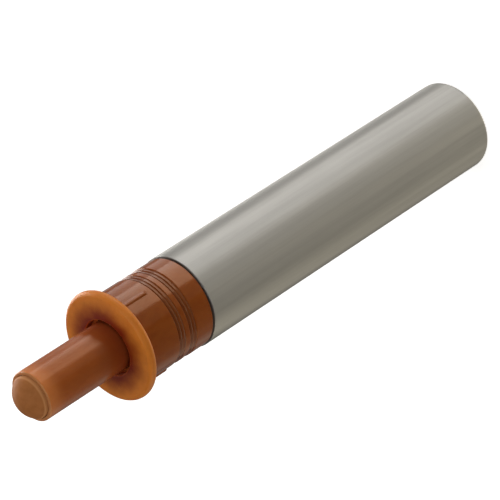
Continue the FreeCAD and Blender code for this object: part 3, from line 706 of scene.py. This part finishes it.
def plunger_moulding(plunger):
    """Amber-brown moulding, rubbing lines, painted shade at the nose, painted glow and highlight at
    the front.
    """
    finish = Finish("plunger_moulding", IOR=1.5, Specular_IOR_Level=0.51,
                    Specular_Tint=(1.0, 0.63, 0.38, 1.0), Subsurface_Weight=plunger.translucency,
                    Subsurface_Scale=1.0, Subsurface_Radius=AMBER_DEPTH)
    shaded_root_span = (FLANGE_FRONT - 0.5 * MM, FLANGE_FRONT + 4.5 * MM)
    front_glow_span = (PLUNGER_FRONT - 2.4 * MM, PLUNGER_FRONT)
    end_highlight_span = (PLUNGER_FRONT - 0.12 * MM, PLUNGER_FRONT - 0.02 * MM)
    level = finish.level()
    flow = finish.noise(finish.places((1, 1, 0.35)), size=1.5 * MM, detail=4, roughness=0.55)
    body = finish.mottled(flow, plunger.body_dark, plunger.body)
    # Painted shade towards the nose.
    body = finish.mix(finish.remap(level, *shaded_root_span), plunger.root, body)
    # Painted glow towards the thin front end.
    body = finish.mix(finish.remap(level, *front_glow_span), body, plunger.front)
    # Painted highlight on the front ring.
    colour_out = finish.mix(finish.remap(level, *end_highlight_span), body, plunger.end_highlight)
    rubbed = finish.noise(finish.places((1, 1, 0.02)), size=0.12 * MM, detail=2)
    rough = finish.varied(rubbed, plunger.roughness, spread=0.012)
    return finish.set(Base_Color=colour_out, Roughness=rough,
                      Normal=moulded_skin(finish, grain=0.1 * MM))


def dull_elastomer(plunger):
    """The tip's dull elastomer, with rubbed marks where the door meets it and a painted highlight
    at its edge.
    """
    finish = Finish("dull_elastomer", IOR=1.48, Specular_IOR_Level=0.16,
                    Specular_Tint=(1.0, 0.8, 0.62, 1.0))
    shoulder_highlight_span = (plunger.tip_disc_radius - 0.14 * MM, plunger.tip_disc_radius - 0.05 * MM)
    crown = (DOME_APEX - 0.5 * MM, DOME_APEX)
    marks = finish.noise(finish.places(), size=0.7 * MM, detail=5, roughness=0.6)
    skin = finish.mottled(marks, plunger.tip_dark, plunger.tip)
    # Painted highlight round the dome's edge.
    colour_out = finish.mix(finish.remap(finish.radius(), *shoulder_highlight_span), skin, plunger.shoulder_highlight)
    rough = finish.remap(finish.level(), *crown, to_low=0.62, to_high=0.5)
    return finish.set(Base_Color=colour_out, Roughness=rough,
                      Normal=moulded_skin(finish, grain=0.06 * MM))


def natural_moulding(cartridge):
    """Natural off-white plastic with a faint flow and a matt skin."""
    finish = Finish("natural_moulding", IOR=1.5, Subsurface_Weight=0.1, Subsurface_Scale=1.0,
                    Subsurface_Radius=NATURAL_DEPTH)
    flow = finish.noise(finish.places((1, 1, 0.4)), size=1.2 * MM, detail=4)
    colour_out = finish.mottled(flow, cartridge.natural_dark, cartridge.natural)
    grain = finish.noise(finish.places(), size=0.2 * MM)
    rough = finish.remap(grain, *WIDE_SPAN, to_low=0.42, to_high=0.55)
    return finish.set(Base_Color=colour_out, Roughness=rough,
                      Normal=moulded_skin(finish, grain=0.1 * MM))


def turned_steel(cartridge):
    """Bright steel with fine turning rings."""
    finish = Finish("turned_steel", Metallic=1.0)
    rings = finish.noise(finish.places((0.03, 0.03, 1)), size=0.05 * MM, detail=2)
    stains = finish.noise(finish.places(), size=0.9 * MM, detail=4)
    tone = finish.blend(rings, stains, weight=0.4)
    colour_out = finish.mottled(tone, cartridge.steel_dark, cartridge.steel, METAL_SPAN)
    rough = finish.remap(tone, *NOISE_SPAN, to_low=0.32, to_high=0.2)
    return finish.set(Base_Color=colour_out, Roughness=rough,
                      Normal=finish.bump(rings, depth=0.0008 * MM))


def spring_wire(cartridge):
    """Bright spring wire with darker stains left by its drawing."""
    finish = Finish("spring_wire", Metallic=1.0)
    stains = finish.noise(finish.places(), size=0.5 * MM, detail=4)
    colour_out = finish.mottled(stains, cartridge.steel_dark, cartridge.steel, METAL_SPAN)
    rough = finish.remap(stains, *NOISE_SPAN, to_low=0.34, to_high=0.22)
    return finish.set(Base_Color=colour_out, Roughness=rough,
                      Normal=finish.bump(stains, depth=0.0008 * MM))


def black_rubber(cartridge):
    """Matt black rubber with a pale bloom in its grain."""
    finish = Finish("black_rubber", Specular_IOR_Level=0.35)
    grain = finish.noise(finish.places(), size=0.35 * MM, detail=5, roughness=0.65)
    colour_out = finish.mottled(grain, cartridge.rubber, cartridge.rubber_worn, span=(0.45, 0.75))
    rough = finish.remap(grain, *WIDE_SPAN, to_low=0.75, to_high=0.6)
    return finish.set(Base_Color=colour_out, Roughness=rough,
                      Normal=moulded_skin(finish, grain=0.05 * MM))


def cellular_foam(cartridge):
    """Closed-cell foam: round cells with lighter walls."""
    finish = Finish("cellular_foam", Specular_IOR_Level=0.2, Roughness=0.9)
    inputs = {"Vector": finish.places(), "Scale": 1 / cartridge.cell}
    cells = finish.node("TexVoronoi", inputs).outputs["Distance"]
    colour_out = finish.mottled(cells, cartridge.foam, cartridge.foam_light, span=(0.25, 0.6))
    return finish.set(Base_Color=colour_out, Normal=finish.bump(cells, depth=0.02 * MM))


# Operators

class DAMPER_OT_make_tube(Operator):
    """Makes the drawn outer tube"""
    bl_idname = "damper.make_tube"
    bl_label = "Outer tube"

    def execute(self, context):
        tube = context.scene.damper_tube
        mesh = turned_mesh("drawn_tube", tube_outline(tube), even_angles(tube.facets), closed=False)
        dress_piece("drawn_tube", mesh, drawn_metal(tube), "outer_tube", "housing")
        return {"FINISHED"}


class DAMPER_OT_make_nose(Operator):
    """Makes the moulded nose with its flange, bands, grooves and crush ribs"""
    bl_idname = "damper.make_nose"
    bl_label = "Nose"

    def execute(self, context):
        nose = context.scene.damper_nose
        mesh = turned_mesh("moulded_nose", nose_outline(nose), ribbed_angles(nose), closed=True,
                           radius_at=rib_radius_at(nose))
        dress_piece("moulded_nose", mesh, amber_moulding(nose), "nose_housing", "housing")
        return {"FINISHED"}


class DAMPER_OT_make_plunger(Operator):
    """Makes the plunger and the domed tip that is set in its end"""
    bl_idname = "damper.make_plunger"
    bl_label = "Plunger and tip"

    def execute(self, context):
        plunger = context.scene.damper_plunger
        angles = even_angles(plunger.facets)
        rod = turned_mesh("moulded_plunger", plunger_outline(plunger), angles, closed=False)
        dress_piece("moulded_plunger", rod, plunger_moulding(plunger), "plunger", "plunger_unit")
        tip = turned_mesh("domed_tip", tip_outline(plunger), angles, closed=False)
        dress_piece("domed_tip", tip, dull_elastomer(plunger), "tip_bumper", "plunger_unit")
        return {"FINISHED"}


class DAMPER_OT_make_spring(Operator):
    """Makes the return spring at its rest length, before the plunger goes in and shortens it"""
    bl_idname = "damper.make_spring"
    bl_label = "Return spring"

    def execute(self, context):
        spring = context.scene.damper_spring
        mesh = coil_mesh("wound_spring", spring)
        wire = spring_wire(context.scene.damper_cartridge)
        coil = dress_piece("wound_spring", mesh, wire, "return_spring", "housing")
        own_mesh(coil)
        return {"FINISHED"}


class DAMPER_OT_finish_cartridge(Operator):
    """Gives the pieces inside the tube their finishes"""
    bl_idname = "damper.finish_cartridge"
    bl_label = "Inner pieces"

    NODES_BY_FINISH = {
        natural_moulding: ("damping_cylinder", "cylinder_cap", "seal_support_ring",
                           "foam_separator", "piston", "piston_ring", "spring_seat"),
        turned_steel: ("piston_rod", "valve_disc", "valve_keeper", "rod_clip"),
        black_rubber: ("end_cushion", "cap_o_ring", "rod_seal"),
        cellular_foam: ("compensator_foam",),
    }

    def execute(self, context):
        for make_finish, names in self.NODES_BY_FINISH.items():
            material = make_finish(context.scene.damper_cartridge)
            for name in names:
                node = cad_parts[name]
                for slot in node.material_slots:
                    slot.material = material
        return {"FINISHED"}


class DAMPER_OT_set_stage(Operator):
    """Sets the camera, the floor, the lamps and the light from all round"""
    bl_idname = "damper.set_stage"
    bl_label = "Stage"

    def execute(self, context):
        stage = context.scene.damper_stage
        place_camera(context.scene, stage)
        lay_floor(stage)
        light_room(context.scene, stage)
        for lamp in LAMPS:
            hang_lamp(Vector(stage.aim), **lamp)
        context.scene.view_settings.view_transform = "Standard"
        return {"FINISHED"}


# Lamps by bearing from +X and height above the horizon, in degrees, as seen from the object. Sizes
# and the distance are in metres, power is in watts.
WHITE = (1.0, 1.0, 1.0)
WARM = (1.0, 0.94, 0.77)
LAMPS = [
    {"name": "key_softbox", "azimuth": 32, "elevation": -37, "width": 0.44, "height": 0.10,
     "power": 0.491, "tint": WHITE},
    {"name": "key_tail", "azimuth": -22, "elevation": -37, "width": 0.22, "height": 0.20,
     "power": 0.0565, "tint": WHITE},
    {"name": "shoulder_strip", "azimuth": 85, "elevation": -37, "width": 0.22, "height": 0.10,
     "power": 0.0708, "tint": WHITE},
    {"name": "far_strip", "azimuth": 128, "elevation": -37, "width": 0.10, "height": 0.14,
     "power": 0.009, "tint": WHITE},
    {"name": "dark_side_softbox", "azimuth": -90, "elevation": -37, "width": 0.50, "height": 0.30,
     "power": 0.0391, "tint": WARM},
    {"name": "dark_far_softbox", "azimuth": -145, "elevation": -37, "width": 0.30, "height": 0.30,
     "power": 0.0331, "tint": WARM},
    {"name": "dark_edge_strip", "azimuth": -155, "elevation": -37, "width": 0.14, "height": 0.30,
     "power": 0.0237, "tint": WARM},
    {"name": "low_softbox", "azimuth": -30, "elevation": -75, "width": 0.30, "height": 0.30,
     "power": 0.42, "tint": WARM},
    {"name": "low_dark_softbox", "azimuth": -105, "elevation": -62, "width": 0.30, "height": 0.30,
     "power": 0.201, "tint": WARM},
    {"name": "level_softbox", "azimuth": 45, "elevation": 0, "width": 0.30, "height": 0.30,
     "power": 0.322, "tint": WHITE},
    {"name": "far_softbox", "azimuth": 110, "elevation": 5, "width": 0.30, "height": 0.30,
     "power": 1.38, "tint": WHITE},
    {"name": "near_softbox", "azimuth": 0, "elevation": 15, "width": 0.30, "height": 0.30,
     "power": 0.165, "tint": WHITE},
    {"name": "nose_softbox", "azimuth": 0, "elevation": 75, "width": 0.30, "height": 0.30,
     "power": 0.55, "tint": WHITE},
    {"name": "camera_softbox", "azimuth": -60, "elevation": 20, "width": 0.30, "height": 0.30,
     "power": 0.0995, "tint": WHITE},
    {"name": "dark_high_softbox", "azimuth": -130, "elevation": 10, "width": 0.30, "height": 0.30,
     "power": 0.408, "tint": WARM},
]
LAMP_DISTANCE = 0.40


def bearing(azimuth, elevation):
    """The direction at a bearing from +X and a height above the horizon, both in radians."""
    across = math.cos(elevation)
    return Vector((across * math.cos(azimuth), across * math.sin(azimuth), math.sin(elevation)))


def place_camera(scene, stage):
    data = bpy.data.cameras.new("photo_camera")
    data.sensor_width = stage.sensor
    data.lens = stage.lens
    data.clip_start = 0.02
    data.clip_end = 10
    camera = bpy.data.objects.new("photo_camera", data)
    scene.collection.objects.link(camera)
    back = bearing(stage.azimuth, stage.elevation)
    turned = back.to_track_quat("Z", "Y").to_matrix() @ Matrix.Rotation(stage.roll, 3, "Z")
    place = Vector(stage.aim) + back * stage.distance
    camera.matrix_world = Matrix.Translation(place) @ turned.to_4x4()
    scene.camera = camera


def lay_floor(stage):
    """A pale floor that the camera sees white, with a shadow. It hides no light from below."""
    half = stage.floor_size / 2
    corners = [(-half, -half, 0), (half, -half, 0), (half, half, 0), (-half, half, 0)]
    data = bpy.data.meshes.new("pale_floor")
    data.from_pydata(corners, [], [(0, 1, 2, 3)])
    floor = bpy.data.objects.new("pale_floor", data)
    bpy.context.scene.collection.objects.link(floor)
    floor.visible_shadow = False
    floor.visible_diffuse = False
    floor.visible_glossy = False
    floor.visible_transmission = False
    finish = Finish("pale_floor")
    finish.tree.nodes.remove(finish.shader)
    paint = finish.node("BsdfDiffuse", {"Color": stage.floor})
    seen = finish.node("LightPath", {}).outputs["Is Camera Ray"]
    strength = finish.math("MULTIPLY", seen, stage.floor_white)
    white = finish.node("Emission", {"Color": stage.backdrop, "Strength": strength})
    both = finish.node("AddShader", {0: paint.outputs[0], 1: white.outputs[0]})
    finish.feed(finish.tree.nodes["Material Output"].inputs["Surface"], both.outputs[0])
    data.materials.append(finish.material)


def light_room(scene, stage):
    """Even light from all round, white to the camera and partly white in gloss and clear pieces."""
    scene.world = bpy.data.worlds.new("room")
    scene.world.use_nodes = True
    nodes = Nodes(scene.world.node_tree)
    room = nodes.tree.nodes["Background"]
    nodes.feed(room.inputs["Color"], stage.room)
    nodes.feed(room.inputs["Strength"], stage.room_strength)
    backdrop = nodes.node("Background", {"Color": stage.backdrop})
    rays = nodes.node("LightPath", {}).outputs
    gloss = nodes.math("MAXIMUM", rays["Is Glossy Ray"], rays["Is Transmission Ray"])
    shown = nodes.math("MULTIPLY_ADD", gloss, stage.backdrop_in_gloss, rays["Is Camera Ray"])
    chosen = nodes.node("MixShader", {0: shown, 1: room.outputs[0], 2: backdrop.outputs[0]})
    nodes.feed(nodes.tree.nodes["World Output"].inputs["Surface"], chosen.outputs[0])


def hang_lamp(aim, name, azimuth, elevation, width, height, power, tint):
    """A softbox that faces the object."""
    data = bpy.data.lights.new(name, "AREA")
    data.shape = "RECTANGLE"
    data.size = width
    data.size_y = height
    data.energy = power
    data.color = tint
    lamp = bpy.data.objects.new(name, data)
    bpy.context.scene.collection.objects.link(lamp)
    outward = bearing(math.radians(azimuth), math.radians(elevation))
    turned = outward.to_track_quat("Z", "Y").to_matrix()
    lamp.matrix_world = Matrix.Translation(aim + outward * LAMP_DISTANCE) @ turned.to_4x4()
    lamp.visible_camera = False


STEPS = (
    DAMPER_OT_make_tube,
    DAMPER_OT_make_nose,
    DAMPER_OT_make_plunger,
    DAMPER_OT_make_spring,
    DAMPER_OT_finish_cartridge,
    DAMPER_OT_set_stage,
)


class DAMPER_PT_sidebar(Panel):
    """Lists the steps that build the damper"""
    bl_idname = "DAMPER_PT_sidebar"
    bl_label = "Soft close damper"
    bl_space_type = "VIEW_3D"
    bl_region_type = "UI"
    bl_category = "Damper"

    def draw(self, context):
        for step in STEPS:
            self.layout.operator(step.bl_idname)


SETTINGS = {
    "damper_tube": TubeSettings,
    "damper_nose": NoseSettings,
    "damper_plunger": PlungerSettings,
    "damper_spring": SpringSettings,
    "damper_cartridge": CartridgeSettings,
    "damper_stage": StageSettings,
}
CLASSES = (*SETTINGS.values(), *STEPS, DAMPER_PT_sidebar)


def register():
    for cls in CLASSES:
        bpy.utils.register_class(cls)
    for name, settings in SETTINGS.items():
        setattr(bpy.types.Scene, name, PointerProperty(type=settings))


def unregister():
    for name in SETTINGS:
        delattr(bpy.types.Scene, name)
    for cls in reversed(CLASSES):
        bpy.utils.unregister_class(cls)


def main():
    register()
    bpy.ops.damper.make_tube()
    bpy.ops.damper.make_nose()
    bpy.ops.damper.make_plunger()
    bpy.ops.damper.make_spring()
    bpy.ops.damper.finish_cartridge()
    bpy.ops.damper.set_stage()


if __name__ == "__main__":
    main()
